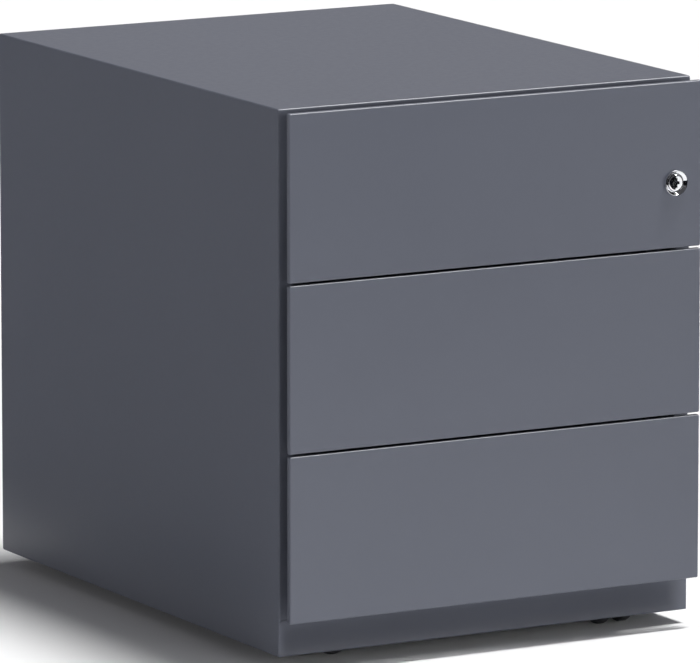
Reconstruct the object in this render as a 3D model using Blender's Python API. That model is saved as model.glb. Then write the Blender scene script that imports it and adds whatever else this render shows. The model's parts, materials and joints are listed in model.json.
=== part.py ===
"""Rolling pedestal cabinet: a sheet-steel under-desk unit with three drawers, a lock and four twin castors.

Metres, +Z up, the drawers open towards -Y. The origin is on the floor, under the middle of the cabinet.
Folded sheets are real thickness, and pieces that touch keep a gap of 0.3 mm.
"""

import math

import bmesh
import bpy
from mathutils import Vector

# ---- driving dimensions -------------------------------------------------------------------------
WIDTH = 0.420
HEIGHT = 0.500
CARCASS_DEPTH = 0.540
FRONT_PROUD = 0.020
FLOOR_GAP = 0.0125
GAP = 0.0003

SHEET = 0.0010
BEND = 0.0018
FLANGE = 0.014
BACK_FLANGE = 0.012
PAN_SHEET = 0.0012
PLINTH_PLAY = 0.0001
UPRIGHT_SETDOWN = 0.016

DRAWERS = ("bottom", "middle", "top")
FRONT_HEIGHT = 0.1496
FRONT_GAP = 0.0020
FRONT_DROP = 0.0016
FRONT_THICK = 0.0057
FRONT_SHEET = 0.0009
FRONT_BEND = 0.0016
FRONT_RETURN = 0.010

TRAY_DEPTH = 0.490
TRAY_HEIGHT = 0.105
TRAY_RISE = 0.008
TRAY_SHEET = 0.0009
TRAY_HEM = 0.006

CARRIER_CROWN = 0.150
CARRIER_WING = 0.190
CARRIER_HEIGHT = 0.110

RUNNER_LENGTH = 0.450
RUNNER_THICK = 0.0127
RUNNER_RISE = 0.024
RUNNER_SETBACK = 0.0135
OPENING_HALF = WIDTH / 2 - FLANGE - SHEET

LOCK_BEZEL = 0.0030
LOCK_EDGE = 0.0275
LOCK_RISE = 0.0590
LOCK_HEAD = 0.0076
LOCK_HEAD_DEPTH = 0.0030
LOCK_PLUG = 0.0060
LOCK_BEZEL_RADIUS = 0.0118
LOCK_BARREL = 0.0088
LOCK_LENGTH = 0.0265
LOCK_STUB = 0.0030
CAM_THICK = 0.0020
CAM_LENGTH = 0.0110
BAR_LIFT = 0.010
HOOK_RISE = 0.094
HOOK_HEIGHT = 0.006
HOOK_OVERLAP = 0.0035

WHEEL_RADIUS = 0.0175
WHEEL_WIDTH = 0.0100
WHEEL_OFFSET = 0.0069
CASTOR_TRAIL = 0.016
CASTOR_SIDE_INSET = 0.060
CASTOR_FRONT_INSET = 0.054
CASTOR_BACK_INSET = 0.060
BASE_UNDERSIDE = 0.0480
CASTOR_PLATE_HALF = 0.019
CASTOR_PLATE_THICK = 0.0025
STEM_RADIUS = 0.0040
STEM_FOOT = 0.0265
BOSS_RADIUS = 0.0100
BOSS_TOP = 0.0393
AXLE_RADIUS = 0.0025

# ---- places worked out from them ----------------------------------------------------------------
DEPTH = CARCASS_DEPTH + FRONT_PROUD + LOCK_BEZEL
BACK_Y = DEPTH / 2
CARCASS_Y = BACK_Y - CARCASS_DEPTH
FRONT_Y = CARCASS_Y - FRONT_PROUD
SIDE_X = WIDTH / 2
FRONT_PITCH = FRONT_HEIGHT + FRONT_GAP
STACK_BOTTOM = HEIGHT - FRONT_DROP - len(DRAWERS) * FRONT_PITCH + FRONT_GAP
PLINTH_TOP = STACK_BOTTOM - 0.0004
CARRIER_BACK = CARCASS_Y + 0.0105
TRAY_FRONT = CARRIER_BACK + GAP
TRAY_HALF = OPENING_HALF - GAP - RUNNER_THICK - 2 * GAP
RUNNER_INNER = TRAY_HALF + GAP
UPRIGHT_INNER = RUNNER_INNER + RUNNER_THICK + GAP
LOCK_X = SIDE_X - GAP - LOCK_EDGE


# ---- materials ----------------------------------------------------------------------------------
def material(name, colour, roughness, metallic):
    """A plain Principled material with one colour."""
    made = bpy.data.materials.new(name)
    made.use_nodes = True
    shader = made.node_tree.nodes["Principled BSDF"]
    shader.inputs["Base Color"].default_value = (*colour, 1.0)
    shader.inputs["Roughness"].default_value = roughness
    shader.inputs["Metallic"].default_value = metallic
    made.diffuse_color = (*colour, 1.0)
    return made


def make_materials():
    """The cabinet's finishes by name."""
    return {
        "carcass": material("carcass_paint", (0.100, 0.108, 0.130), 0.42, 0.0),
        "drawer": material("drawer_paint", (0.115, 0.123, 0.147), 0.42, 0.0),
        "inner": material("inner_paint", (0.085, 0.092, 0.110), 0.50, 0.0),
        "zinc": material("zinc_plate", (0.62, 0.63, 0.64), 0.35, 1.0),
        "chrome": material("chrome", (0.80, 0.80, 0.82), 0.10, 1.0),
        "steel": material("bright_steel", (0.50, 0.50, 0.52), 0.30, 1.0),
        "hood": material("castor_plastic", (0.020, 0.020, 0.022), 0.45, 0.0),
        "tread": material("wheel_plastic", (0.016, 0.016, 0.018), 0.55, 0.0),
    }


# ---- mesh tools ---------------------------------------------------------------------------------
def clear_scene():
    """Removes every object that the start-up file brought."""
    for thing in list(bpy.data.objects):
        bpy.data.objects.remove(thing, do_unlink=True)


def empty(name, location, rotation=(0.0, 0.0, 0.0), parent=None):
    """A plain empty to hang pieces on, such as a joint's axis."""
    made = bpy.data.objects.new(name, None)
    made.empty_display_size = 0.02
    made.location = location
    made.rotation_euler = rotation
    made.parent = parent
    bpy.context.collection.objects.link(made)
    return made


def from_bmesh(name, shape, finish=None, parent=None, location=(0.0, 0.0, 0.0)):
    """Turns a bmesh into a linked object with its faces pointing out."""
    bmesh.ops.recalc_face_normals(shape, faces=shape.faces)
    mesh = bpy.data.meshes.new(name)
    shape.to_mesh(mesh)
    shape.free()
    if finish:
        mesh.materials.append(finish)
    made = bpy.data.objects.new(name, mesh)
    made.parent = parent
    made.location = location
    bpy.context.collection.objects.link(made)
    return made


def share(name, source, parent, location=(0.0, 0.0, 0.0), rotation=(0.0, 0.0, 0.0)):
    """Another object with the same mesh as source."""
    made = bpy.data.objects.new(name, source.data)
    made.parent = parent
    made.location = location
    made.rotation_euler = rotation
    bpy.context.collection.objects.link(made)
    return made


def block(low, high, radius=0.0, segments=3, keep_sharp=None):
    """A box between two corners. keep_sharp says which edges, by their two ends, aren't rounded."""
    shape = bmesh.new()
    bmesh.ops.create_cube(shape, size=1.0)
    for vert in shape.verts:
        for axis in range(3):
            vert.co[axis] = high[axis] if vert.co[axis] > 0 else low[axis]
    if radius > 0.0:
        ends = [(edge, edge.verts[0].co, edge.verts[1].co) for edge in shape.edges]
        rounded = [edge for edge, a, b in ends if not (keep_sharp and keep_sharp(a, b))]
        bmesh.ops.bevel(shape, geom=rounded, offset=radius, segments=segments, profile=0.5,
                        affect="EDGES", clamp_overlap=True)
    return shape


def prism(outline, plane, start, end):
    """A straight extrusion of a closed outline. plane names the two axes that the outline lies in."""
    first, second = ("XYZ".index(letter) for letter in plane)
    along = 3 - first - second
    shape = bmesh.new()
    corners = []
    for u, v in outline:
        place = Vector((0.0, 0.0, 0.0))
        place[first], place[second], place[along] = u, v, start
        corners.append(shape.verts.new(place))
    cap = shape.faces.new(corners)
    grown = bmesh.ops.extrude_face_region(shape, geom=[cap])
    step = Vector((0.0, 0.0, 0.0))
    step[along] = end - start
    moved = [item for item in grown["geom"] if isinstance(item, bmesh.types.BMVert)]
    bmesh.ops.translate(shape, verts=moved, vec=step)
    return shape


def turned(profile, segments, hollow=False):
    """A solid of revolution about Z from (radius, height) points. A hollow one's profile closes on itself."""
    shape = bmesh.new()
    rings = []
    for radius, height in profile:
        if radius == 0.0:
            rings.append([shape.verts.new((0.0, 0.0, height))] * segments)
            continue
        angles = [2 * math.pi * k / segments for k in range(segments)]
        rings.append([shape.verts.new((radius * math.cos(a), radius * math.sin(a), height)) for a in angles])
    pairs = list(zip(rings, rings[1:]))
    if hollow:
        pairs.append((rings[-1], rings[0]))
    for lower, upper in pairs:
        for k in range(segments):
            after = (k + 1) % segments
            corners = [lower[k], lower[after], upper[after], upper[k]]
            shape.faces.new(list(dict.fromkeys(corners)))
    return shape


def combine(body, others, operation):
    """Booleans each of the other objects into body, or out of it, and removes them."""
    for other in others:
        step = body.modifiers.new(operation.title(), "BOOLEAN")
        step.operation = operation
        step.solver = "EXACT"
        step.object = other
    bpy.context.view_layer.update()
    graph = bpy.context.evaluated_depsgraph_get()
    result = bpy.data.meshes.new_from_object(body.evaluated_get(graph))
    result.name = body.data.name
    body.modifiers.clear()
    body.data = result
    for other in others:
        bpy.data.objects.remove(other, do_unlink=True)
    return body


def cut(body, shapes):
    """Cuts bmesh shapes, given in the body's own coordinates, out of an object that isn't parented yet."""
    return combine(body, [from_bmesh("cutter", shape) for shape in shapes], "DIFFERENCE")


def join(body, shapes):
    """Adds bmesh shapes to an object as one solid."""
    return combine(body, [from_bmesh("addition", shape) for shape in shapes], "UNION")


def arc(centre, radius, start, end, steps):
    """Points along an arc in a plane, from start to end in degrees."""
    angles = [math.radians(start + (end - start) * k / steps) for k in range(steps + 1)]
    return [(centre[0] + radius * math.cos(a), centre[1] + radius * math.sin(a)) for a in angles]


def adopt(piece, parent):
    """Parents a finished piece to an empty, keeping its own coordinates as local ones."""
    piece.parent = parent
    return piece


# ---- carcass ------------------------------------------------------------------------------------
def body_shell(finish):
    """Sides and top folded from one sheet, with returns round the front, the back and the bottom."""
    low = (-SIDE_X, CARCASS_Y, FLOOR_GAP)
    high = (SIDE_X, BACK_Y, HEIGHT)
    shell = from_bmesh("body_shell", block(low, high, BEND), finish)
    inside_low = [value + SHEET for value in low]
    inside_high = [value - SHEET for value in high]
    inside = block(inside_low, inside_high, BEND - SHEET)
    side_in = SIDE_X - FLANGE - SHEET
    back_in = SIDE_X - BACK_FLANGE - SHEET
    reach = 0.002
    front_opening = block((-side_in, CARCASS_Y - reach, -reach), (side_in, CARCASS_Y + reach, HEIGHT - FLANGE))
    back_opening = block((-back_in, BACK_Y - reach, FLOOR_GAP + BACK_FLANGE),
                         (back_in, BACK_Y + reach, HEIGHT - BACK_FLANGE))
    underside = block((-back_in, CARCASS_Y - reach, 0.0), (back_in, BACK_Y - BACK_FLANGE, FLOOR_GAP + reach))
    plinth_end = SIDE_X - SHEET - 2 * PLINTH_PLAY
    plinth_clear = PLINTH_TOP + GAP
    plinth_face = block((-WIDTH, CARCASS_Y - reach, 0.0),
                        (WIDTH, CARCASS_Y + SHEET + PLINTH_PLAY, plinth_clear))
    plinth_returns = block((-plinth_end, CARCASS_Y - reach, 0.0),
                           (plinth_end, CARCASS_Y + FLANGE - SHEET, plinth_clear))
    return cut(shell, [inside, front_opening, back_opening, underside, plinth_face, plinth_returns])


def back_panel(finish):
    """The closing sheet behind the drawers, just inside the back returns."""
    edge = SHEET + GAP
    outer_y = BACK_Y - edge
    corner = 0.0006
    panel = block((-SIDE_X + edge + corner, outer_y - SHEET, FLOOR_GAP + edge + corner),
                  (SIDE_X - edge - corner, outer_y, HEIGHT - edge - corner))
    return from_bmesh("back_panel", panel, finish)


def base_pan(finish):
    """The floor of the carcass, with its edges turned down. The castors screw to its underside."""
    thick = PAN_SHEET
    edge = SHEET + GAP
    turned_down = 0.012
    top = BASE_UNDERSIDE + thick
    low = (-SIDE_X + edge, CARCASS_Y + FLANGE, top - turned_down)
    high = (SIDE_X - edge, BACK_Y - SHEET - 2 * GAP - SHEET, top)
    pan = from_bmesh("base_pan", block(low, high, BEND, 2), finish)
    hollow = block((low[0] + thick, low[1] + thick, low[2] - turned_down),
                   (high[0] - thick, high[1] - thick, BASE_UNDERSIDE), BEND - thick, 2)
    return cut(pan, [hollow])


def plinth_rail(finish):
    """The rail under the drawers: a channel whose face is flush with the front returns of the sides."""
    low = (-SIDE_X, CARCASS_Y, FLOOR_GAP)
    high = (SIDE_X, CARCASS_Y + FLANGE - SHEET - GAP, PLINTH_TOP)

    def sharp(a, b):
        """Only the two upright front edges and the bottom front edge are rounded."""
        upright = abs(a.z - b.z) > SHEET
        at_front = max(a.y, b.y) < CARCASS_Y + SHEET
        at_foot = max(a.z, b.z) < FLOOR_GAP + SHEET
        return not (at_front and (upright or at_foot))

    rail = from_bmesh("plinth_rail", block(low, high, BEND, 3, sharp), finish)
    hollow = block((-WIDTH, low[1] + SHEET, low[2] + SHEET), (WIDTH, high[1] + SHEET, high[2] - SHEET))
    flange_end = SIDE_X - SHEET - 2 * GAP
    flange_y, past_y = low[1] + SHEET - GAP, high[1] + SHEET
    right_end = block((flange_end, flange_y, 0.0), (WIDTH, past_y, HEIGHT))
    left_end = block((-WIDTH, flange_y, 0.0), (-flange_end, past_y, HEIGHT))
    return cut(rail, [hollow, right_end, left_end])


def upright(name, side, start_y, finish):
    """A channel standing between a side and the runners that it carries."""
    width = 0.030
    thick = 0.0015
    inner = side * UPRIGHT_INNER
    outer = side * (SIDE_X - SHEET - GAP)
    inner_face = inner + side * thick
    outline = [(outer, 0.0), (inner, 0.0), (inner, width), (outer, width),
               (outer, width - thick), (inner_face, width - thick), (inner_face, thick), (outer, thick)]
    foot = BASE_UNDERSIDE + PAN_SHEET + GAP
    channel = prism(outline, "XY", foot, HEIGHT - UPRIGHT_SETDOWN)
    return from_bmesh(name, channel, finish, None, (0.0, start_y, 0.0))


def uprights(finish):
    """Two uprights each side, near the runners' ends."""
    starts = {"front": CARCASS_Y + 0.0205, "rear": CARCASS_Y + 0.425}
    for place, start_y in starts.items():
        for word, side in (("left", -1), ("right", 1)):
            upright(f"upright_{place}_{word}", side, start_y, finish)


# ---- runners ------------------------------------------------------------------------------------
def channel_outline(web, mouth, half_height, thick):
    """A C section with its web at one x and its mouth at another."""
    inner = web + math.copysign(thick, mouth - web)
    return [(mouth, half_height), (web, half_height), (web, -half_height), (mouth, -half_height),
            (mouth, -half_height + thick), (inner, -half_height + thick),
            (inner, half_height - thick), (mouth, half_height - thick)]


def runner_sections():
    """The three members of a telescopic runner, as x from the drawer's side outwards."""
    return {
        "outer": channel_outline(RUNNER_THICK, 0.0027, 0.0175, 0.0012),
        "middle": channel_outline(0.0105, 0.0017, 0.0138, 0.0011),
        "inner": channel_outline(0.0, 0.0081, 0.0102, 0.0011),
    }


def runners(drawer, axes, finish):
    """The left and right runner of one drawer. Each member hangs on the empty that it moves with."""
    start = CARCASS_Y + RUNNER_SETBACK - FRONT_Y
    for member, outline in runner_sections().items():
        for word, side in (("left", -1), ("right", 1)):
            placed = [(side * (RUNNER_INNER + x), z) for x, z in outline]
            name = f"{drawer}_runner_{word}_{member}"
            shape = prism(placed, "XZ", start, start + RUNNER_LENGTH)
            from_bmesh(name, shape, finish, axes[member], (0.0, 0.0, RUNNER_RISE))


# ---- drawers ------------------------------------------------------------------------------------
def drawer_front(drawer, finish):
    """A shallow pan of folded sheet, open at the back, as wide as the cabinet."""
    half = SIDE_X - GAP
    low = (-half, 0.0, 0.0)
    high = (half, FRONT_THICK, FRONT_HEIGHT)
    front = from_bmesh(f"{drawer}_drawer_front", block(low, high, FRONT_BEND, 4), finish)
    inside_low = [value + FRONT_SHEET for value in low]
    inside_high = [value - FRONT_SHEET for value in high]
    window_low = (low[0] + FRONT_RETURN, FRONT_SHEET + GAP, FRONT_RETURN)
    window_high = (high[0] - FRONT_RETURN, 2 * FRONT_THICK, FRONT_HEIGHT - FRONT_RETURN)
    shapes = [block(inside_low, inside_high), block(window_low, window_high)]
    if drawer == "top":
        hole = turned([(0.0, -0.01), (0.0092, -0.01), (0.0092, 0.01), (0.0, 0.01)], 32)
        bmesh.ops.rotate(hole, verts=hole.verts, cent=(0, 0, 0), matrix=axis_to_front())
        bmesh.ops.translate(hole, verts=hole.verts, vec=(LOCK_X, 0.0, LOCK_RISE))
        shapes.append(hole)
    return cut(front, shapes)


def axis_to_front():
    """The rotation that turns +Z to -Y."""
    return Vector((0.0, 0.0, 1.0)).rotation_difference(Vector((0.0, -1.0, 0.0))).to_matrix()


def front_carrier(drawer, finish):
    """A hat section that holds the front away from the tray: its crown sits in the pan of the front."""
    thick = 0.0010
    crown_y = FRONT_SHEET + GAP
    wing_y = CARRIER_BACK - FRONT_Y
    crown, wing = CARRIER_CROWN, CARRIER_WING
    near = [(-wing, wing_y - thick), (-crown, wing_y - thick), (-crown, crown_y),
            (crown, crown_y), (crown, wing_y - thick), (wing, wing_y - thick)]
    far = [(wing, wing_y), (crown - thick, wing_y), (crown - thick, crown_y + thick),
           (-crown + thick, crown_y + thick), (-crown + thick, wing_y), (-wing, wing_y)]
    bottom = FRONT_RETURN + thick
    hat = prism(near + far, "XY", bottom, bottom + CARRIER_HEIGHT)
    carrier = from_bmesh(f"{drawer}_front_carrier", hat, finish)
    clear = 0.0015
    past = 2 * clear
    notch = block((wing - HOOK_OVERLAP - thick, wing_y - past, HOOK_RISE - clear),
                  (wing + past, wing_y + past, HOOK_RISE + HOOK_HEIGHT + clear))
    return cut(carrier, [notch])


def drawer_tray(drawer, finish):
    """The drawer's open box, with a hem turned in round its top edge."""
    start = TRAY_FRONT - FRONT_Y
    low = (-TRAY_HALF, start, TRAY_RISE)
    high = (TRAY_HALF, start + TRAY_DEPTH, TRAY_RISE + TRAY_HEIGHT)

    def sharp(a, b):
        """The rim stays square."""
        return min(a.z, b.z) > high[2] - TRAY_SHEET

    corner = 0.0025
    tray = from_bmesh(f"{drawer}_tray", block(low, high, corner, 2, sharp), finish)
    inside_low = [value + TRAY_SHEET for value in low]
    inside_high = [value - TRAY_SHEET for value in high]
    hollow = block(inside_low, inside_high, corner - TRAY_SHEET, 2, sharp)
    mouth = block((low[0] + TRAY_HEM, low[1] + TRAY_HEM, high[2] - TRAY_HEM),
                  (high[0] - TRAY_HEM, high[1] - TRAY_HEM, high[2] + TRAY_HEM))
    return cut(tray, [hollow, mouth])


def make_drawer(number, drawer, finishes):
    """One drawer with its front, carrier, tray and two runners. Returns the empty that slides."""
    place = (0.0, FRONT_Y, STACK_BOTTOM + number * FRONT_PITCH)
    slide = empty(f"{drawer}_slide", place)
    extension = empty(f"{drawer}_extension", place)
    fixed = empty(f"{drawer}_fixed", place)
    adopt(drawer_front(drawer, finishes["drawer"]), slide)
    adopt(front_carrier(drawer, finishes["inner"]), slide)
    adopt(drawer_tray(drawer, finishes["inner"]), slide)
    runners(drawer, {"outer": fixed, "middle": extension, "inner": slide}, finishes["zinc"])
    return slide


# ---- lock ---------------------------------------------------------------------------------------
def lock_housing(axis, finish):
    """A round bezel and the barrel behind it, bored through in two steps for the plug."""
    rim, edge = LOCK_BEZEL_RADIUS, 0.0011
    head, bore = LOCK_HEAD + GAP, LOCK_PLUG + GAP
    step = -LOCK_HEAD_DEPTH - GAP
    profile = [(head, LOCK_BEZEL - edge / 2), (head + edge / 2, LOCK_BEZEL), (rim - edge, LOCK_BEZEL),
               (rim, LOCK_BEZEL - edge), (rim, GAP), (LOCK_BARREL, GAP), (LOCK_BARREL, -LOCK_LENGTH),
               (bore, -LOCK_LENGTH), (bore, step), (head, step)]
    return from_bmesh("lock_housing", turned(profile, 40, hollow=True), finish, axis)


def lock_plug(axis, finish):
    """The part that the key turns: a wide head with the keyhole, and a stub at the back for the cam."""
    face, edge = LOCK_BEZEL - 0.0008, 0.0006
    back = -LOCK_LENGTH - GAP
    tip = back - CAM_THICK - GAP
    head = [(0.0, face), (LOCK_HEAD - edge, face), (LOCK_HEAD, face - edge), (LOCK_HEAD, -LOCK_HEAD_DEPTH)]
    barrel = [(LOCK_PLUG, -LOCK_HEAD_DEPTH), (LOCK_PLUG, back), (LOCK_STUB, back), (LOCK_STUB, tip), (0.0, tip)]
    plug = from_bmesh("lock_plug", turned(head + barrel, 32), finish)
    half_slot, half_height = 0.0010, 0.0043
    slot = block((-half_slot, -half_height, -LOCK_PLUG), (half_slot, half_height, LOCK_PLUG))
    ward = block((0.0, 0.0012, -LOCK_PLUG), (0.0024, 0.0030, LOCK_PLUG))
    return adopt(cut(plug, [slot, ward]), axis)


def lock_nut(axis, finish):
    """The hexagon nut that clamps the lock to the front's sheet."""
    near, far = FRONT_SHEET + GAP, FRONT_SHEET + GAP + 0.0033
    nut = from_bmesh("lock_nut", prism(arc((0.0, 0.0), 0.0125, 0, 300, 5), "XY", -near, -far), finish)
    reach = 2 * far
    bore_radius = LOCK_BARREL + GAP
    bore = turned([(0.0, -reach), (bore_radius, -reach), (bore_radius, reach), (0.0, reach)], 32)
    return adopt(cut(nut, [bore]), axis)


def lock_cam(axis, finish):
    """The flat arm on the plug's stub. It points down when the cabinet is unlocked."""
    outline = arc((0.0, 0.0), 2 * LOCK_STUB, -35, 215, 10) + arc((0.0, -CAM_LENGTH), 0.0035, 190, 350, 6)
    near = -LOCK_LENGTH - GAP - 0.0001
    cam = from_bmesh("lock_cam", prism(outline, "XY", near - CAM_THICK, near), finish)
    reach = 2 * LOCK_LENGTH
    bore_radius = LOCK_STUB + GAP
    bore = turned([(0.0, -reach), (bore_radius, -reach), (bore_radius, 0.0), (0.0, 0.0)], 20)
    return adopt(cut(cam, [bore]), axis)


def lock_bar(finish):
    """The upright bar behind the right-hand return: a hook for each drawer and a lug for the cam."""
    front, back = CARCASS_Y + 0.012, CARCASS_Y + 0.014
    near, far = OPENING_HALF + 0.002, OPENING_HALF + 0.011
    foot_z, head_z = 0.060, 0.470
    bar = from_bmesh("lock_bar", block((near, front, foot_z), (far, back, head_z)), finish)
    pieces = []
    for number in range(len(DRAWERS)):
        foot = STACK_BOTTOM + number * FRONT_PITCH + HOOK_RISE
        hook = block((CARRIER_WING - HOOK_OVERLAP, front, foot), (near + 0.002, back, foot + HOOK_HEIGHT))
        pieces.append(hook)
    lock_z = STACK_BOTTOM + 2 * FRONT_PITCH + LOCK_RISE
    underside = lock_z + 0.0043 - BAR_LIFT
    pieces.append(block((CARRIER_WING + 0.002, CARCASS_Y + 0.0065, underside),
                        (near + 0.002, back, underside + 0.003)))
    return join(bar, pieces)


def make_lock(slide, finishes):
    """The cylinder lock on the top drawer and the bar that it lifts."""
    axis = empty("lock_axis", (LOCK_X, 0.0, LOCK_RISE), (math.pi / 2, 0.0, 0.0), slide)
    lock_housing(axis, finishes["chrome"])
    lock_plug(axis, finishes["steel"])
    lock_nut(axis, finishes["zinc"])
    lock_cam(axis, finishes["zinc"])
    lock_bar(finishes["zinc"])


# ---- castors ------------------------------------------------------------------------------------
def castor_plate(finish):
    """The square plate under the base pan, with the boss and stem that the castor turns on."""
    top = BASE_UNDERSIDE - GAP
    plate_z = top - CASTOR_PLATE_THICK
    half = CASTOR_PLATE_HALF
    shoulder, shoulder_z = BOSS_RADIUS + 0.001, BOSS_TOP + 0.0005
    ease = 0.0004
    stem = [(0.0, STEM_FOOT), (STEM_RADIUS - ease, STEM_FOOT), (STEM_RADIUS, STEM_FOOT + ease),
            (STEM_RADIUS, shoulder_z), (shoulder, shoulder_z), (shoulder, plate_z + ease),
            (0.0, plate_z + ease)]

    def sharp(a, b):
        """Only the four upright edges are rounded."""
        return abs(a.z - b.z) < CASTOR_PLATE_THICK / 2

    plate = block((-half, -half, plate_z), (half, half, top), 0.004, 3, sharp)
    return join(from_bmesh("castor_plate", plate, finish), [turned(stem, 24)])


def castor_body(finish):
    """The swivelling body: a web between the wheels, a hood over them and a boss for the stem."""
    hub = (CASTOR_TRAIL, WHEEL_RADIUS)
    clear = 0.0006
    half_web = WHEEL_OFFSET - clear
    half_hood = WHEEL_OFFSET + WHEEL_WIDTH + clear
    hood_inner, hood_outer = WHEEL_RADIUS + 0.0017, WHEEL_RADIUS + 0.0037
    web = arc(hub, hood_inner + 0.001, 15, 165, 10) + arc(hub, 0.0070, 205, 335, 6)
    body = from_bmesh("castor_body", prism(web, "XZ", -half_web, half_web), finish)
    band = arc(hub, hood_outer, -8, 165, 12) + arc(hub, hood_inner, 165, -8, 12)
    hood = prism(band, "XZ", -half_hood, half_hood)
    boss_foot, ease = STEM_FOOT - 0.0027, 0.0008
    boss = turned([(0.0, boss_foot), (BOSS_RADIUS, boss_foot), (BOSS_RADIUS, BOSS_TOP - ease),
                   (BOSS_RADIUS - ease, BOSS_TOP), (0.0, BOSS_TOP)], 24)
    join(body, [hood, boss])
    clearances = []
    for side in (-1, 1):
        near = side * (half_web + 0.0001)
        wheel_space = arc(hub, WHEEL_RADIUS + 0.0008, 0, 350, 35)
        clearances.append(prism(wheel_space, "XZ", near, side * 2 * half_hood))
    bore, bore_foot = STEM_RADIUS + GAP, STEM_FOOT - 0.001
    stem_bore = turned([(0.0, bore_foot), (bore, bore_foot), (bore, 2 * BOSS_TOP), (0.0, 2 * BOSS_TOP)], 24)
    axle_bore = prism(arc(hub, AXLE_RADIUS + GAP, 0, 345, 23), "XZ", -half_hood, half_hood)
    return cut(body, [*clearances, stem_bore, axle_bore])


def castor_axle(finish):
    """The pin that both wheels turn on, with its length along Z."""
    ease = 0.0004
    half = WHEEL_OFFSET + WHEEL_WIDTH - 0.0018
    end, tip = half - ease, AXLE_RADIUS - ease
    profile = [(0.0, -half), (tip, -half), (AXLE_RADIUS, -end), (AXLE_RADIUS, end), (tip, half), (0.0, half)]
    return from_bmesh("castor_axle", turned(profile, 20), finish)


def castor_wheel(finish):
    """One wheel with a blind bore. Its inner face is at height 0 and its outer face looks along +Z."""
    wide, rim, bore = WHEEL_WIDTH, WHEEL_RADIUS, AXLE_RADIUS + GAP
    bore_end = wide - 0.0012
    profile = [(0.0, bore_end), (bore, bore_end), (bore, 0.0), (rim - 0.0015, 0.0),
               (rim, 0.0018), (rim, wide - 0.0022), (rim - 0.0024, wide), (0.0, wide)]
    return from_bmesh("castor_wheel", turned(profile, 24), finish)


def place_castor(name, corner, heading, masters, finishes):
    """One castor at a corner. heading is the way that its wheels lie from the swivel, in degrees from +X."""
    share(f"{name}_plate", masters["plate"], None, (*corner, 0.0))
    swivel = empty(f"{name}_swivel", (*corner, 0.0), (0.0, 0.0, math.radians(heading)))
    share(f"{name}_body", masters["body"], swivel)
    hub = (CASTOR_TRAIL, 0.0, WHEEL_RADIUS)
    share(f"{name}_axle", masters["axle"], swivel, hub, (math.pi / 2, 0.0, 0.0))
    for word, side in (("wheel_a", 1), ("wheel_b", -1)):
        place = (CASTOR_TRAIL, side * WHEEL_OFFSET, WHEEL_RADIUS)
        share(f"{name}_{word}", masters["wheel"], swivel, place, (-side * math.pi / 2, 0.0, 0.0))


def make_castors(finishes):
    """Four twin-wheel castors, each turned its own way as after a push."""
    masters = {
        "plate": castor_plate(finishes["zinc"]),
        "body": castor_body(finishes["hood"]),
        "axle": castor_axle(finishes["steel"]),
        "wheel": castor_wheel(finishes["tread"]),
    }
    left, right = -SIDE_X + CASTOR_SIDE_INSET, SIDE_X - CASTOR_SIDE_INSET
    front, rear = CARCASS_Y + CASTOR_FRONT_INSET, BACK_Y - CASTOR_BACK_INSET
    corners = {
        "castor_front_left": ((left, front), 0.0),
        "castor_front_right": ((right, front), -90.0),
        "castor_rear_left": ((left, rear), 180.0),
        "castor_rear_right": ((right, rear), 60.0),
    }
    for name, (corner, heading) in corners.items():
        place_castor(name, corner, heading, masters, finishes)
    for master in masters.values():
        bpy.data.objects.remove(master, do_unlink=True)


# ---- the whole cabinet --------------------------------------------------------------------------
def smooth_round_pieces():
    """Shades every piece smooth, with sharp edges where its faces meet at more than 32 degrees."""
    for mesh in bpy.data.meshes:
        if mesh.users:
            mesh.shade_smooth()
            mesh.set_sharp_from_angle(angle=math.radians(32))


def main():
    """Builds the cabinet."""
    clear_scene()
    finishes = make_materials()
    body_shell(finishes["carcass"])
    back_panel(finishes["carcass"])
    base_pan(finishes["carcass"])
    plinth_rail(finishes["carcass"])
    uprights(finishes["zinc"])
    slides = {}
    for number, drawer in enumerate(DRAWERS):
        slides[drawer] = make_drawer(number, drawer, finishes)
    make_lock(slides["top"], finishes)
    make_castors(finishes)
    smooth_round_pieces()


main()
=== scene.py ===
"""Looks of the rolling pedestal cabinet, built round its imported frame.

Metres, +Z up. The drawers open towards -Y.
"""

import json
import math

import bmesh
import bpy
from mathutils import Matrix, Vector


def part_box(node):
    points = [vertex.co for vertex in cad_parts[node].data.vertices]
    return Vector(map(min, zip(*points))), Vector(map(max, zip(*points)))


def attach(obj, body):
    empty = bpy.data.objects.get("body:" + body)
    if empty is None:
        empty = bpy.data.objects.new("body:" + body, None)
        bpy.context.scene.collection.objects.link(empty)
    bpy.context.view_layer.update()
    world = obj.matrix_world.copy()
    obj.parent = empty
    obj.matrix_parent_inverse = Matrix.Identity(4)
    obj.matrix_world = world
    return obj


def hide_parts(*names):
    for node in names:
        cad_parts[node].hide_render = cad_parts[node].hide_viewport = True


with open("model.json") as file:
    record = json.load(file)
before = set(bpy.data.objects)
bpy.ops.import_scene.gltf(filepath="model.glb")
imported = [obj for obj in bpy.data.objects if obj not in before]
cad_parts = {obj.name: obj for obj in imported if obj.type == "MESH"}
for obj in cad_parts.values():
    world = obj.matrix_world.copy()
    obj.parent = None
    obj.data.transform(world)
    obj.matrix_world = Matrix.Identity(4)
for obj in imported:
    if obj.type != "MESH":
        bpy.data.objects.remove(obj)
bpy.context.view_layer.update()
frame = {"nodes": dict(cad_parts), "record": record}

# ---- driving values -----------------------------------------------------------------------------
DRAWERS = ("bottom", "middle", "top")
SIDES = (("left", -1), ("right", 1))
CASTORS = ("castor_front_left", "castor_front_right", "castor_rear_left", "castor_rear_right")
NODES = frame["nodes"]
BEHAVIOUR = frame["record"]["behaviour"]
BODY_OF = {node: body for body, nodes in BEHAVIOUR["bodies"].items() for node in nodes}
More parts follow.
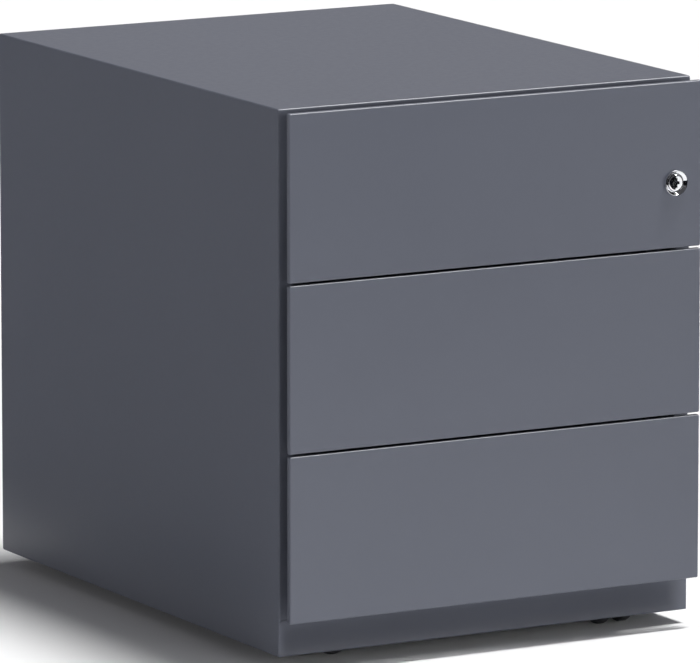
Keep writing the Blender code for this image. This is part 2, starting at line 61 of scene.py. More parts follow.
JOINTS = {joint["name"]: joint for joint in BEHAVIOUR["joints"]}

CAMERA_AZIMUTH = -29.11
CAMERA_ELEVATION = 10.13
CAMERA_DISTANCE = 7.464
CAMERA_LENS = 420.2
CAMERA_SENSOR = 36.0
CAMERA_CLIP = (0.1, 60.0)
CAMERA_AIM = Vector((0.0043, -0.0024, 0.2454))

SUNS = {
    "key": {"towards": (0.24, -0.10, 1.0), "strength": 3.42, "degrees": 16.0, "lights": "both"},
    "front": {"towards": (0.16, -1.0, 0.12), "strength": 1.42, "degrees": 30.0, "lights": "matte"},
    "edge": {"towards": (0.50, -0.25, 0.83), "strength": 4.6, "degrees": 26.0, "lights": "gloss"},
}
SUN_DISTANCE = 3.0
SIDE_BOX = {"place": (-2.3, 0.75, 0.50), "aim": (-0.21, 0.05, 0.26), "size": (1.6, 0.9), "power": 7.0}
BACKDROP_LIGHT = 1.1
HORIZON_LIGHT = 0.63
SKY_LIGHT = 0.08
SKY_TINT = (0.93, 0.92, 1.0)
HORIZON_HEIGHT = 0.35
FLOOR_HALF = 25.0
FLOOR_TONE = 0.86
DARK_CARDS = {
    "card_front": {
        "line": [(0.80, -1.32), (0.10, -1.55), (-0.75, -1.10)],
        "heights": (0.0, 0.70),
        "shades": False,
    },
    "card_right": {"line": [(0.45, -0.56), (0.45, -0.05)], "heights": (0.0, 0.80), "shades": False},
    "card_left": {"line": [(-0.30, -0.50), (-0.30, 1.60)], "heights": (0.0, 0.70), "shades": False},
    "plinth_flag": {"line": [(-0.204, -0.279), (0.204, -0.279)], "heights": (0.014, 0.044), "shades": True},
}
CARD_TONE = (0.004, 0.004, 0.006, 1.0)

PAINT = (0.108, 0.116, 0.144)
INNER_PAINT = (0.100, 0.107, 0.128)
ZINC = (0.60, 0.61, 0.63)
GROUND_STEEL = (0.56, 0.56, 0.57)
CHROME_DULL, CHROME_BRIGHT = (0.80, 0.81, 0.83), (0.90, 0.91, 0.93)
HOOD_PLASTIC = (0.020, 0.020, 0.022)
WHEEL_PLASTIC = (0.017, 0.017, 0.019)

SMOOTH_ANGLE = math.radians(35.0)
FINE = 48
WELD_DISTANCE = 0.00001

TRAY_SHEET = 0.0009
RUNNER_SHEET = 0.0012

BEZEL_RADIUS = 0.0118
BEZEL_RISE = 0.0030
BARREL_RADIUS = 0.0088
BARREL_END = -0.0265
BARREL_BORE = 0.0063
PLUG_RADIUS = 0.0076
PLUG_BORE = 0.0079
PLUG_STEP = -0.0030
PLUG_NECK = 0.0060
KEYWAY_HALF = 0.0010
KEYWAY_REACH = 0.0043

TRAIL = 0.016
WHEEL_RADIUS = 0.0175
WHEEL_NEAR = 0.0069
WHEEL_FAR = 0.0169
WEB_HALF = 0.0062


# ---- camera, light and floor --------------------------------------------------------------------
def make_camera():
    """A long lens from the front left, a little above the cabinet."""
    azimuth, elevation = math.radians(CAMERA_AZIMUTH), math.radians(CAMERA_ELEVATION)
    back = Vector((math.sin(azimuth) * math.cos(elevation), -math.cos(azimuth) * math.cos(elevation),
                   math.sin(elevation)))
    data = bpy.data.cameras.new("camera")
    data.lens = CAMERA_LENS
    data.sensor_width = CAMERA_SENSOR
    data.clip_start, data.clip_end = CAMERA_CLIP
    camera = bpy.data.objects.new("camera", data)
    camera.location = CAMERA_AIM + back * CAMERA_DISTANCE
    camera.rotation_mode = "QUATERNION"
    camera.rotation_quaternion = (-back).to_track_quat("-Z", "Y")
    bpy.context.scene.collection.objects.link(camera)
    bpy.context.scene.camera = camera


def place_light(name, data, place, aim):
    """Links a light at a place, pointing at aim."""
    light = bpy.data.objects.new(name, data)
    light.location = place
    light.rotation_mode = "QUATERNION"
    light.rotation_quaternion = (Vector(aim) - Vector(place)).to_track_quat("-Z", "Y")
    bpy.context.scene.collection.objects.link(light)
    return light


def make_lights():
    """An overhead key, a low front light, a glint for the folded edges and a soft box at the rear left."""
    for name, facts in SUNS.items():
        data = bpy.data.lights.new(name, "SUN")
        data.energy = facts["strength"]
        data.angle = math.radians(facts["degrees"])
        sun = place_light(name, data, Vector(facts["towards"]) * SUN_DISTANCE, (0.0, 0.0, 0.0))
        sun.visible_diffuse = facts["lights"] != "gloss"
        sun.visible_glossy = facts["lights"] != "matte"
    data = bpy.data.lights.new("side_box", "AREA")
    data.shape = "RECTANGLE"
    data.size, data.size_y = SIDE_BOX["size"]
    data.energy = SIDE_BOX["power"]
    place_light("side_box", data, SIDE_BOX["place"], SIDE_BOX["aim"])
    bpy.context.scene.view_settings.view_transform = "Standard"


def make_world():
    """A dim room that is lighter towards the horizon, with white behind everything that the camera sees."""
    world = bpy.data.worlds.new("studio")
    bpy.context.scene.world = world
    world.use_nodes = True
    tree = world.node_tree
    tree.nodes.clear()
    output = tree.nodes.new("ShaderNodeOutputWorld")
    mix = tree.nodes.new("ShaderNodeMixShader")
    room = tree.nodes.new("ShaderNodeBackground")
    white = tree.nodes.new("ShaderNodeBackground")
    path = tree.nodes.new("ShaderNodeLightPath")
    direction = tree.nodes.new("ShaderNodeTexCoord")
    parts = tree.nodes.new("ShaderNodeSeparateXYZ")
    fade = tree.nodes.new("ShaderNodeMapRange")
    room.inputs["Color"].default_value = (*SKY_TINT, 1.0)
    white.inputs["Color"].default_value = (1.0, 1.0, 1.0, 1.0)
    white.inputs["Strength"].default_value = BACKDROP_LIGHT
    fade.inputs["From Min"].default_value, fade.inputs["From Max"].default_value = 0.0, HORIZON_HEIGHT
    fade.inputs["To Min"].default_value, fade.inputs["To Max"].default_value = HORIZON_LIGHT, SKY_LIGHT
    tree.links.new(direction.outputs["Generated"], parts.inputs[0])
    tree.links.new(parts.outputs["Z"], fade.inputs["Value"])
    tree.links.new(fade.outputs["Result"], room.inputs["Strength"])
    tree.links.new(path.outputs["Is Camera Ray"], mix.inputs[0])
    tree.links.new(room.outputs[0], mix.inputs[1])
    tree.links.new(white.outputs[0], mix.inputs[2])
    tree.links.new(mix.outputs[0], output.inputs[0])


def make_floor():
    """A wide pale matte floor."""
    mesh = bpy.data.meshes.new("floor")
    half = FLOOR_HALF
    corners = [(-half, -half, 0.0), (half, -half, 0.0), (half, half, 0.0), (-half, half, 0.0)]
    mesh.from_pydata(corners, [], [(0, 1, 2, 3)])
    floor = bpy.data.objects.new("floor", mesh)
    bpy.context.scene.collection.objects.link(floor)
    made = bpy.data.materials.new("floor_pale")
    made.use_nodes = True
    shader = made.node_tree.nodes["Principled BSDF"]
    shader.inputs["Base Color"].default_value = (FLOOR_TONE, FLOOR_TONE, FLOOR_TONE, 1.0)
    shader.inputs["Roughness"].default_value = 0.85
    shader.inputs["Specular IOR Level"].default_value = 0.10
    mesh.materials.append(made)


def make_cards():
    """Dark cards that only reflections see. The plinth's flag also keeps the low front light off it."""
    made = bpy.data.materials.new("card_dark")
    made.use_nodes = True
    shader = made.node_tree.nodes["Principled BSDF"]
    shader.inputs["Base Color"].default_value = CARD_TONE
    shader.inputs["Roughness"].default_value = 1.0
    shader.inputs["Specular IOR Level"].default_value = 0.0
    for name, facts in DARK_CARDS.items():
        mesh = bpy.data.meshes.new(name)
        count = len(facts["line"])
        points = [(x, y, height) for height in facts["heights"] for x, y in facts["line"]]
        faces = [(k, k + 1, count + k + 1, count + k) for k in range(count - 1)]
        mesh.from_pydata(points, [], faces)
        mesh.materials.append(made)
        card = bpy.data.objects.new(name, mesh)
        card.visible_camera = False
        card.visible_diffuse = False
        card.visible_shadow = facts["shades"]
        card.visible_transmission = False
        bpy.context.scene.collection.objects.link(card)


# ---- materials ----------------------------------------------------------------------------------
class Nodes:
    """Adds nodes to a new material and links them."""

    def __init__(self, name):
        self.material = bpy.data.materials.new(name)
        self.material.use_nodes = True
        self.tree = self.material.node_tree
        self.shader = self.tree.nodes["Principled BSDF"]

    def add(self, kind, **settings):
        """A node of one kind. settings are its inputs, with _ for a space, or its own properties."""
        node = self.tree.nodes.new(kind)
        for key, value in settings.items():
            label = key.replace("_", " ")
            if label in node.inputs:
                node.inputs[label].default_value = value
            else:
                setattr(node, key, value)
        return node

    def link(self, source, target):
        """Links an output socket to an input socket."""
        self.tree.links.new(source, target)

    def feed(self, source, name):
        """Links an output socket to one of the shader's inputs."""
        self.link(source, self.shader.inputs[name])

    def set(self, **values):
        """Constant values on the shader's own sockets."""
        for key, value in values.items():
            self.shader.inputs[key.replace("_", " ")].default_value = value

    def place(self, scale=(1.0, 1.0, 1.0)):
        """Object coordinates, scaled along each axis."""
        coordinates = self.add("ShaderNodeTexCoord")
        mapping = self.add("ShaderNodeMapping")
        mapping.inputs["Scale"].default_value = scale
        self.link(coordinates.outputs["Object"], mapping.inputs["Vector"])
        return mapping.outputs["Vector"]

    def noise(self, vector, scale, detail=3.0, roughness=0.55):
        """A noise texture's value."""
        node = self.add("ShaderNodeTexNoise", Scale=scale, Detail=detail, Roughness=roughness)
        self.link(vector, node.inputs["Vector"])
        return node.outputs["Fac"]

    def spread(self, value, low, high, start=0.3, end=0.7):
        """A value remapped from start..end to low..high."""
        node = self.add("ShaderNodeMapRange", From_Min=start, From_Max=end, To_Min=low, To_Max=high)
        self.link(value, node.inputs["Value"])
        return node.outputs["Result"]

    def colours(self, value, low, high):
        """A colour between two, by a value from 0 to 1."""
        node = self.add("ShaderNodeMix", data_type="RGBA")
        self.link(value, node.inputs["Factor"])
        for socket in node.inputs:
            if socket.type == "RGBA" and socket.name in "AB":
                socket.default_value = (*(low if socket.name == "A" else high), 1.0)
        colour = [socket for socket in node.outputs if socket.type == "RGBA"]
        return colour[0]

    def bump(self, height, strength, distance, below=None):
        """A bump from a height."""
        node = self.add("ShaderNodeBump", Strength=strength, Distance=distance)
        self.link(height, node.inputs["Height"])
        if below:
            self.link(below, node.inputs["Normal"])
        return node.outputs["Normal"]


def shade(colour, factor):
    """A colour made lighter or darker."""
    return tuple(channel * factor for channel in colour)


def powder_coat(name, colour, gloss=0.33):
    """Satin powder coat: slightly uneven colour and gloss, with a fine grain over a faint orange peel."""
    made = Nodes(name)
    place = made.place()
    tone = made.spread(made.noise(place, 7.0, 4.0), 0.0, 1.0)
    made.feed(made.colours(tone, shade(colour, 0.985), shade(colour, 1.015)), "Base Color")
    made.feed(made.spread(made.noise(place, 160.0, 3.0), gloss - 0.015, gloss + 0.02), "Roughness")
    peel = made.bump(made.noise(place, 420.0, 2.0), 0.05, 0.0003)
    made.feed(made.bump(made.noise(place, 2600.0, 2.0), 0.10, 0.0001, peel), "Normal")
    made.set(Specular_IOR_Level=0.40)
    return made.material


def plated_steel(name, colour, gloss, grain=(30.0, 2.0, 30.0)):
    """Plated or ground steel: a grain, drawn out along Y unless told otherwise, over duller blotches."""
    contrast = 0.08
    made = Nodes(name)
    drawn = made.noise(made.place(grain), 40.0, 4.0)
    blotch = made.noise(made.place(), 55.0, 3.0)
    tone = made.spread(blotch, 0.0, 1.0)
    dull, bright = shade(colour, 1.0 - contrast), shade(colour, 1.0 + contrast)
    made.feed(made.colours(tone, dull, bright), "Base Color")
    made.feed(made.spread(drawn, gloss * 0.75, gloss * 1.25), "Roughness")
    made.feed(made.bump(drawn, 0.06, 0.0002), "Normal")
    made.set(Metallic=1.0)
    return made.material


def polished_chrome(name):
    """Bright chrome with the faintest haze."""
    made = Nodes(name)
    place = made.place()
    haze = made.noise(place, 300.0, 4.0)
    made.feed(made.spread(haze, 0.045, 0.10), "Roughness")
    tone = made.spread(haze, 0.0, 1.0)
    made.feed(made.colours(tone, CHROME_DULL, CHROME_BRIGHT), "Base Color")
    made.feed(made.bump(made.noise(place, 90.0, 2.0), 0.03, 0.0001), "Normal")
    made.set(Metallic=1.0)
    return made.material


def moulded_plastic(name, colour, gloss, scuffs):
    """Moulded plastic with a spark-eroded texture, duller where it has been rubbed."""
    made = Nodes(name)
    place = made.place()
    rubbed = made.spread(made.noise(place, 130.0, 5.0, 0.7), 0.0, 1.0, 0.45, 0.75)
    made.feed(made.colours(rubbed, colour, shade(colour, 1.0 + scuffs)), "Base Color")
    made.feed(made.spread(made.noise(place, 220.0, 3.0), gloss - 0.06, gloss + 0.08), "Roughness")
    made.feed(made.bump(made.noise(place, 1800.0, 2.0), 0.18, 0.0001), "Normal")
    return made.material


def make_finishes():
    """Every finish by name, with the record's slot that it belongs to."""
    even_grain = (30.0, 30.0, 30.0)
    return {
        "carcass": (powder_coat("powder_coat_carcass", PAINT), "carcass_paint"),
        "front": (powder_coat("powder_coat_fronts", PAINT), "drawer_paint"),
        "inner": (powder_coat("powder_coat_inner", INNER_PAINT, 0.42), "inner_paint"),
        "zinc": (plated_steel("zinc_plated_steel", ZINC, 0.36), "zinc_plate"),
        "chrome": (polished_chrome("polished_chrome"), "bright_chrome"),
        "steel": (plated_steel("ground_steel", GROUND_STEEL, 0.24, even_grain), "bright_steel"),
        "hood": (moulded_plastic("moulded_castor_plastic", HOOD_PLASTIC, 0.44, 0.6), "castor_plastic"),
        "tread": (moulded_plastic("moulded_wheel_plastic", WHEEL_PLASTIC, 0.56, 1.4), "wheel_plastic"),
    }


# ---- mesh tools ---------------------------------------------------------------------------------
def ring(radius, height, count=FINE, sides=0):
    """Points of a circle, or of a regular polygon with that inner radius, at a height."""
    points = []
    for k in range(count):
        angle = 2 * math.pi * k / count
        reach = radius
        if sides:
            step = 2 * math.pi / sides
            reach = radius / math.cos(angle % step - step / 2)
        points.append(Vector((reach * math.cos(angle), reach * math.sin(angle), height)))
    return points


def loft(shape, rings, matrix=None, closed=False):
    """Adds a skin over rings of points. It has a flat face at each end, unless it closes on itself."""
    matrix = matrix or Matrix.Identity(4)
    made = [[shape.verts.new(matrix @ point) for point in points] for points in rings]
    pairs = list(zip(made, made[1:]))
    if closed:
        pairs.append((made[-1], made[0]))
    for lower, upper in pairs:
        for k in range(len(lower)):
            after = (k + 1) % len(lower)
            shape.faces.new((lower[k], lower[after], upper[after], upper[k]))
    if not closed:
        shape.faces.new(list(reversed(made[0])))
        shape.faces.new(made[-1])


def turned(shape, profile, matrix=None, count=FINE, closed=False):
    """Adds a solid of revolution about Z from (radius, height) points."""
    loft(shape, [ring(radius, height, count) for radius, height in profile], matrix, closed)


def rounded_box(shape, low, high, radius, matrix=None, segments=3):
    """Adds a box between two corners with rounded edges."""
    part = bmesh.new()
    bmesh.ops.create_cube(part, size=1.0)
    for vert in part.verts:
        for axis in range(3):
            vert.co[axis] = high[axis] if vert.co[axis] > 0 else low[axis]
    bmesh.ops.bevel(part, geom=list(part.edges), offset=radius, segments=segments, profile=0.5,
                    affect="EDGES", clamp_overlap=True)
    if matrix:
        bmesh.ops.transform(part, matrix=matrix, verts=part.verts)
    mesh = bpy.data.meshes.new("part")
    part.to_mesh(mesh)
    part.free()
    shape.from_mesh(mesh)
    bpy.data.meshes.remove(mesh)


def dome(shape, place, normal, radius, height, count=16, recess=0):
    """Adds a low domed head on a face. recess is the number of sides of its drive, if it has one."""
    turn = Vector((0.0, 0.0, 1.0)).rotation_difference(Vector(normal)).to_matrix().to_4x4()
    shoulder = height * 0.35
    profile = [(radius, 0.0), (radius, shoulder), (radius * 0.86, height * 0.75), (radius * 0.62, height)]
    rings = [ring(reach, rise, count) for reach, rise in profile]
    if recess:
        rings += [ring(radius * 0.40, height, count, recess), ring(radius * 0.38, shoulder, count, recess)]
    else:
        rings.append(ring(radius * 0.2, height * 1.04, count))
    loft(shape, rings, Matrix.Translation(place) @ turn)


def piece(name, shape, finish, body, replaced=()):
    """Turns a bmesh into a finished piece that rides on a body."""
    bmesh.ops.recalc_face_normals(shape, faces=shape.faces)
    mesh = bpy.data.meshes.new(name)
    shape.to_mesh(mesh)
    shape.free()
    return dress(bpy.data.objects.new(name, mesh), finish, body, replaced)


def dress(made, finish, body, replaced=()):
    """Links an object, smooths it, gives it its finish and puts it on its body."""
    material, slot = FINISHES[finish]
    made.data.materials.clear()
    made.data.materials.append(material)
    made.data.shade_smooth()
    made.data.set_sharp_from_angle(angle=SMOOTH_ANGLE)
    bpy.context.scene.collection.objects.link(made)
    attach(made, body)
    if replaced:
        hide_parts(*replaced)
    return made


def folded_skin(node, finish):
    """The folded sheet of a node with its bends shaded as true curves, in place of the node."""
    mesh = NODES[node].data.copy()
    shape = bmesh.new()
    shape.from_mesh(mesh)
    bmesh.ops.remove_doubles(shape, verts=shape.verts, dist=WELD_DISTANCE)
    bmesh.ops.dissolve_limit(shape, angle_limit=math.radians(0.5), verts=shape.verts, edges=shape.edges)
    bmesh.ops.triangulate(shape, faces=[face for face in shape.faces if len(face.verts) > 4])
    shape.to_mesh(mesh)
    shape.free()
    made = dress(bpy.data.objects.new(node + "_skin", mesh), finish, BODY_OF[node], (node,))
    smooth = made.modifiers.new("bend_shading", "WEIGHTED_NORMAL")
    smooth.keep_sharp = True
    smooth.weight = 100
    return made


# ---- carcass ------------------------------------------------------------------------------------
def spot_welds():
    """Rows of shallow weld marks on the returns at the back."""
    low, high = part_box("body_shell")
    marks = bmesh.new()
    count = 7
    inset, end = 0.006, 0.03
    left, right = low.x + inset, high.x - inset
    climb = high.z - low.z - 2 * end
    rows = [(x, low.z + end + climb * k / (count - 1)) for k in range(count) for x in (left, right)]
    for z in (high.z - inset, low.z + inset):
        rows += [(left + (right - left) * k / (count - 1), z) for k in range(1, count - 1)]
    profile = [(0.0012, 0.0), (0.0012, 0.00006), (0.0020, 0.00018), (0.0026, 0.0001), (0.0028, -0.0001),
               (0.0018, -0.0002)]
    for x, z in rows:
        face = Matrix.Translation((x, high.y, z)) @ Matrix.Rotation(-math.pi / 2, 4, "X")
        turned(marks, profile, face, 20, closed=True)
    piece("back_spot_welds", marks, "carcass", "carcass")


def runner_rivets():
    """Flat rivets that hold each runner's outer member to its uprights."""
    radius, rise, from_middle = 0.0028, 0.0006, 0.007
    for drawer in DRAWERS:
        for word, side in SIDES:
            low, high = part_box(f"{drawer}_runner_{word}_outer")
            web = (high.x if side > 0 else low.x) - side * RUNNER_SHEET
            heads = bmesh.new()
            for place in ("front", "rear"):
                upright_low, upright_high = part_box(f"upright_{place}_{word}")
                middle = (upright_low.y + upright_high.y) / 2
                for shift in (-from_middle, from_middle):
                    spot = (web, middle + shift, (low.z + high.z) / 2)
                    dome(heads, spot, (-side, 0.0, 0.0), radius, rise)
            piece(f"{drawer}_runner_{word}_rivets", heads, "zinc", "carcass")


def bar_guides():
    """Two small bridges that keep the lock bar against the right-hand return."""
    low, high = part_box("lock_bar")
    foot = high.x - 0.009
    clear, sheet, tall = 0.0006, 0.0010, 0.012
    near, far = high.y + clear, high.y + clear + sheet
    inner, outer = high.x + clear, high.x + clear + sheet
    for word, height in (("lower", 0.075), ("upper", 0.430)):
        guide = bmesh.new()
        top = height + tall
        rounded_box(guide, (foot - 0.004, near, height), (outer, far, top), 0.0003)
        rounded_box(guide, (inner, low.y - 0.0090, height), (outer, far, top), 0.0003)
        dome(guide, (foot - 0.0015, far, height + tall / 2), (0.0, 1.0, 0.0), 0.0018, 0.0008)
        piece(f"lock_bar_guide_{word}", guide, "zinc", "carcass")


# ---- drawers ------------------------------------------------------------------------------------
def tray_ribs(drawer):
    """Pressed ribs across the tray's floor."""
    low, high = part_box(f"{drawer}_tray")
    floor_z = low.z + TRAY_SHEET
    ribs = bmesh.new()
    count, margin = 6, 0.050
    side_gap, half, sunk, rise, rounding = 0.022, 0.004, 0.0010, 0.0009, 0.0008
    step = (high.y - low.y - 2 * margin) / (count - 1)
    for k in range(count):
        middle = low.y + margin + k * step
        rounded_box(ribs, (low.x + side_gap, middle - half, floor_z - sunk),
                    (high.x - side_gap, middle + half, floor_z + rise), rounding)
    piece(f"{drawer}_tray_ribs", ribs, "inner", f"{drawer}_drawer")


def tray_screws(drawer):
    """Screws from the tray's front wall into the wings of the front carrier."""
    low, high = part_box(f"{drawer}_tray")
    screws = bmesh.new()
    radius, rise = 0.0034, 0.0020
    for x in (-0.168, -0.156, 0.156, 0.168):
        for up in (0.030, 0.085):
            dome(screws, (x, low.y + TRAY_SHEET, low.z + up), (0.0, 1.0, 0.0), radius, rise, 24, 6)
    piece(f"{drawer}_tray_screws", screws, "zinc", f"{drawer}_drawer")


def tray_rivets(drawer):
    """Rivets from the tray's sides into the inner members of its runners."""
    low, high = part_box(f"{drawer}_tray")
    radius, rise = 0.0030, 0.0009
    for word, side in SIDES:
        rivets = bmesh.new()
        runner_low, runner_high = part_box(f"{drawer}_runner_{word}_inner")
        wall = (high.x if side > 0 else low.x) - side * TRAY_SHEET
        middle = (runner_low.z + runner_high.z) / 2
        for share in (0.06, 0.35, 0.65, 0.94):
            along = runner_low.y + (runner_high.y - runner_low.y) * share
            dome(rivets, (wall, along, middle), (-side, 0.0, 0.0), radius, rise)
        piece(f"{drawer}_tray_{word}_rivets", rivets, "zinc", f"{drawer}_drawer")


def ball_race(shape, x, z, start, end):
    """Adds one flat cage with its row of balls, along Y."""
    radius, spacing, margin = 0.00115, 0.011, 0.003
    half_width, half_thick, rounding = 0.0024, 0.0003, 0.00012
    rounded_box(shape, (x - half_width, start, z - half_thick), (x + half_width, end, z + half_thick),
                rounding, None, 1)
    length = end - start - 2 * margin
    count = int(length / spacing)
    arcs = [math.radians(-80 + 160 * k / 8) for k in range(9)]
    profile = [(radius * math.cos(a), radius * math.sin(a)) for a in arcs]
    for k in range(count + 1):
        along = start + margin + length * k / count
        turned(shape, profile, Matrix.Translation((x, along, z)), 12)


def runner_races(drawer):
    """The ball cages between the members of both of a drawer's runners."""
    overlap_start, overlap_end, end_gap = 0.222, 0.228, 0.005
    for word, side in SIDES:
        outer_low, outer_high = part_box(f"{drawer}_runner_{word}_outer")
        inner_low, inner_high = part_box(f"{drawer}_runner_{word}_inner")
        middle = (outer_low.z + outer_high.z) / 2
        face = inner_low.x if side > 0 else inner_high.x
        rear = (outer_low.y + overlap_start, outer_high.y - end_gap)
        front = (outer_low.y + 0.002, outer_low.y + overlap_end)
        races = bmesh.new()
        for up in (-1, 1):
            ball_race(races, face + side * 0.0062, middle + up * 0.01505, *rear)
            ball_race(races, face + side * 0.0045, middle + up * 0.01145, *front)
        piece(f"{drawer}_runner_{word}_ball_cages", races, "steel", f"{drawer}_extension")


# ---- lock ---------------------------------------------------------------------------------------
def lock_matrix():
    """The lock's own frame: Z out of the front and Y up."""
    place = Vector(JOINTS["lock_turn"]["pos_m"])
    return Matrix.Translation(place) @ Matrix.Rotation(math.pi / 2, 4, "X")


def lock_bezel():
    """The chrome bezel, dished towards the plug and rounded at its rim, with its threaded barrel behind."""
    bezel = bmesh.new()
    rim, seat = BEZEL_RADIUS, 0.0003
    dish = [(PLUG_BORE, 0.0009), (0.0087, 0.00146), (0.0096, 0.00209), (0.0104, 0.00265)]
    crown = [(0.0107, 0.0029), (0.0110, BEZEL_RISE), (0.0113, 0.0029), (0.0116, 0.0024), (rim, 0.0014)]
    profile = [(PLUG_BORE, PLUG_STEP - seat), *dish, *crown, (rim, seat), (0.0090, seat),
               (BARREL_RADIUS, 0.0001)]
    turns, thread = 20, 0.0004
    pitch = -BARREL_END / (turns + 1)
    for k in range(turns):
        crest = -0.0010 - k * pitch
        profile += [(BARREL_RADIUS, crest), (BARREL_RADIUS - thread, crest - pitch / 2)]
    profile += [(0.0086, BARREL_END + seat), (0.0084, BARREL_END), (BARREL_BORE, BARREL_END),
                (BARREL_BORE, PLUG_STEP - seat)]
    turned(bezel, profile, lock_matrix(), 64, closed=True)
    piece("lock_bezel", bezel, "chrome", "top_drawer", ("lock_housing",))


def keyhole(count, height, scale=1.0):
    """The outline of the keyway as a ring of points, an upright slot with one side step."""
    wide, tall, step = KEYWAY_HALF, KEYWAY_REACH, 0.0030
    corners = [(wide, -tall), (wide, -0.0012), (step, -0.0012), (step, 0.0014), (wide, 0.0014),
               (wide, tall), (-wide, tall), (-wide, -tall)]
    parallel, slack = 1e-9, 1e-6
    points = []
    for k in range(count):
        angle = 2 * math.pi * k / count
        direction = Vector((math.cos(angle), math.sin(angle)))
        best = None
        for start, end in zip(corners, corners[1:] + corners[:1]):
            first, edge = Vector(start), Vector(end) - Vector(start)
            cross = direction.x * edge.y - direction.y * edge.x
            if abs(cross) < parallel:
                continue
            reach = (first.x * edge.y - first.y * edge.x) / cross
            along = (first.x * direction.y - first.y * direction.x) / cross
            if reach > 0 and -slack <= along <= 1 + slack and (best is None or reach < best):
                best = reach
        points.append(Vector((direction.x * best * scale, direction.y * best * scale, height)))
    return points


def lock_core():
    """The plug: a nearly flat polished head with its keyway, and the stub at the back."""
    core = bmesh.new()
    count, eased = 96, 1.05
    back, stub, tip = -0.0268, 0.0030, -0.0290
    face = [(0.0052, 0.00244), (0.0062, 0.0024), (0.0069, 0.0023), (0.0073, 0.0021), (PLUG_RADIUS, 0.0017)]
    body = [(PLUG_RADIUS, PLUG_STEP), (PLUG_NECK, PLUG_STEP), (PLUG_NECK, back), (stub, back), (stub, tip),
            (0.0026, tip - 0.0001)]
    rings = [keyhole(count, -0.0058), keyhole(count, 0.0022), keyhole(count, 0.0025, eased)]
    rings += [ring(radius, height, count) for radius, height in face + body]
    loft(core, rings, lock_matrix())
    piece("lock_core", core, "chrome", "lock_plug", ("lock_plug",))


def lock_fixings():
    """The clamp nut with chamfered corners, and the small nut that holds the cam."""
    nut = bmesh.new()
    count = 48
    near, far, bore = -0.0012, -0.0045, 0.0091
    apothem, chamfer, slope = 0.0108, 0.0003, 0.0004
    rings = [ring(bore, near, count), ring(apothem - chamfer, near, count),
             ring(apothem, near - slope, count, 6), ring(apothem, far + slope, count, 6),
             ring(apothem - chamfer, far, count), ring(bore, far, count)]
    loft(nut, rings, lock_matrix(), closed=True)
    piece("lock_clamp_nut", nut, "zinc", "top_drawer", ("lock_nut",))
    screw = bmesh.new()
    facing = lock_matrix() @ Matrix.Translation((0.0, 0.0, -0.0292)) @ Matrix.Rotation(math.pi, 4, "X")
    washer = [(0.0044, 0.0, 0), (0.0044, 0.0005, 0), (0.0034, 0.0005, 0)]
    hexagon = [(0.0034, 0.0012, 6), (0.0034, 0.0026, 6), (0.0030, 0.0029, 0)]
    thread_end = [(0.0014, 0.0029, 0), (0.0013, 0.0035, 0)]
    profile = washer + hexagon + thread_end
    loft(screw, [ring(reach, rise, 24, sides) for reach, rise, sides in profile], facing)
    piece("lock_cam_nut", screw, "zinc", "lock_plug")


# ---- castors ------------------------------------------------------------------------------------
def castor_matrix(castor):
    """A castor's own frame on the floor under its swivel: X towards the wheels."""
    swivel = Vector(JOINTS[f"{castor}_swivel"]["pos_m"])
    hub = Vector(JOINTS[f"{castor}_wheel_a_spin"]["pos_m"])
    heading = math.atan2(hub.y - swivel.y, hub.x - swivel.x)
    return Matrix.Translation((swivel.x, swivel.y, 0.0)) @ Matrix.Rotation(heading, 4, "Z")


def round_hub(degrees, reach, across):
    """A point at an angle and a distance from the wheels' hub, in the castor's own frame."""
    angle = math.radians(degrees)
    return Vector((TRAIL + reach * math.cos(angle), across, WHEEL_RADIUS + reach * math.sin(angle)))


def hood_section(degrees):
    """One cross-section of the hood: a crowned strip with rounded lips, seen along its curve."""
    half, lip = WHEEL_FAR + 0.0006, 0.0007
    outline = [(-half, 0.0194), (-half, 0.0200), (-half + lip, 0.0206), (-half * 0.6, 0.0211), (0.0, 0.0212),
               (half * 0.6, 0.0211), (half - lip, 0.0206), (half, 0.0200), (half, 0.0194), (0.0, 0.0193)]
    return [round_hub(degrees, reach, across) for across, reach in outline]


def castor_housing(castor):
    """The hood, the web between the wheels and the boss for the stem, as one moulded piece."""
    matrix = castor_matrix(castor)
    housing = bmesh.new()
    steps = 30
    loft(housing, [hood_section(-8 + 173 * k / steps) for k in range(steps + 1)], matrix)
    outline = [(0.0198, 15 + 150 * k / 20) for k in range(21)]
    outline += [(0.0070, 205 + 130 * k / 12) for k in range(13)]
    half, ease = WEB_HALF, 0.0004
    web = []
    for across, shrink in ((-half, ease), (-half + ease, 0.0), (half - ease, 0.0), (half, ease)):
        web.append([round_hub(degrees, reach - shrink, across) for reach, degrees in outline])
    loft(housing, web, matrix)
    boss = [(0.0044, 0.0258), (0.0044, 0.0393), (0.0088, 0.0393), (0.0096, 0.0389), (0.0100, 0.0381),
            (0.0100, 0.0240), (0.0094, 0.0236), (0.0044, 0.0236)]
    turned(housing, boss, matrix, 40, closed=True)
    piece(f"{castor}_housing", housing, "hood", castor, (f"{castor}_body",))


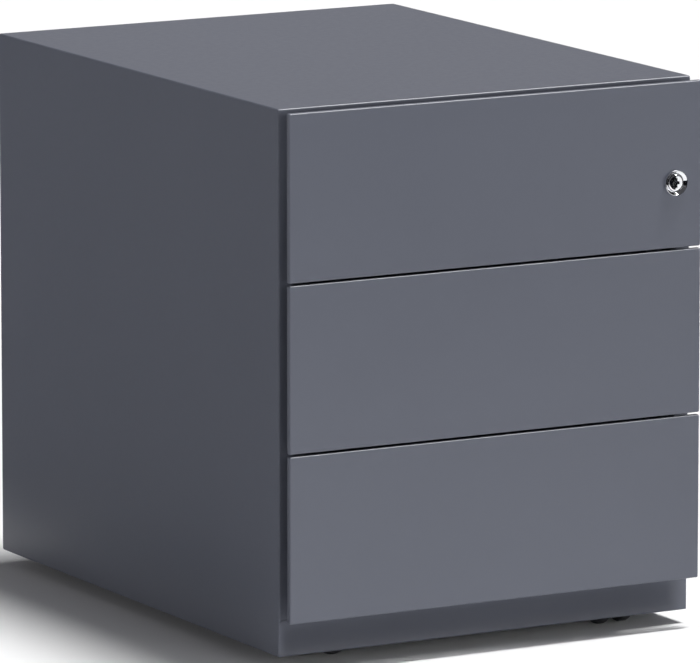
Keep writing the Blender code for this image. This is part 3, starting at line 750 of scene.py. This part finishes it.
def castor_tyre(castor, word, side):
    """One wheel: a crowned tread, a dished face with a raised ring and a domed cap."""
    place = castor_matrix(castor) @ Matrix.Translation((TRAIL, side * WHEEL_NEAR, WHEEL_RADIUS))
    place = place @ Matrix.Rotation(-side * math.pi / 2, 4, "X")
    wide, rim = WHEEL_FAR - WHEEL_NEAR, WHEEL_RADIUS
    inner_face = [(0.0028, wide - 0.0014), (0.0028, 0.0), (0.0062, 0.0), (0.0066, 0.0006),
                  (rim - 0.0035, 0.0006), (rim - 0.0031, 0.0), (rim - 0.0015, 0.0)]
    tread = [(rim - 0.0006, 0.0005), (rim - 0.0001, 0.0018), (rim, wide * 0.45),
             (rim - 0.0001, wide - 0.0030), (rim - 0.0007, wide - 0.0012)]
    outer_face = [(rim - 0.0020, wide - 0.0002), (rim - 0.0034, wide), (rim - 0.0042, wide - 0.0003),
                  (rim - 0.0048, wide - 0.0010), (0.0080, wide - 0.0012), (0.0074, wide - 0.0007),
                  (0.0066, wide - 0.0003), (0.0030, wide - 0.0001), (0.0010, wide - 0.0001),
                  (0.0010, wide - 0.0014)]
    tyre = bmesh.new()
    turned(tyre, inner_face + tread + outer_face, place, 56, closed=True)
    piece(f"{castor}_{word}_tyre", tyre, "tread", f"{castor}_{word}", (f"{castor}_{word}",))


def castor_screws(castor):
    """Four screws up through the castor's plate."""
    plate_thick, reach, radius, rise = 0.0025, 0.0148, 0.0034, 0.0019
    low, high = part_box(f"{castor}_plate")
    plate_z = high.z - plate_thick
    middle = castor_matrix(castor).translation
    screws = bmesh.new()
    for x in (-reach, reach):
        for y in (-reach, reach):
            spot = (middle.x + x, middle.y + y, plate_z)
            dome(screws, spot, (0.0, 0.0, -1.0), radius, rise, 24, 6)
    piece(f"{castor}_screws", screws, "zinc", "carcass")


# ---- the whole cabinet --------------------------------------------------------------------------
def dress_nodes():
    """Gives each CAD node that stays its detailed material."""
    finish_of_slot = {slot: material for material, slot in FINISHES.values()}
    slots = {row["node"]: row["material_slot"] for row in frame["record"]["subparts"]}
    for name, node in NODES.items():
        node.data.materials.clear()
        node.data.materials.append(finish_of_slot[slots[name]])


def make_pieces():
    """Every piece that scene.py adds or replaces."""
    for node in ("body_shell", "plinth_rail"):
        folded_skin(node, "carcass")
    spot_welds()
    runner_rivets()
    bar_guides()
    for drawer in DRAWERS:
        folded_skin(f"{drawer}_drawer_front", "front")
        folded_skin(f"{drawer}_tray", "inner")
        tray_ribs(drawer)
        tray_screws(drawer)
        tray_rivets(drawer)
        runner_races(drawer)
    lock_bezel()
    lock_core()
    lock_fixings()
    for castor in CASTORS:
        castor_housing(castor)
        castor_screws(castor)
        for word, side in (("wheel_a", 1), ("wheel_b", -1)):
            castor_tyre(castor, word, side)


FINISHES = make_finishes()
make_camera()
make_lights()
make_world()
make_floor()
make_cards()
dress_nodes()
make_pieces()
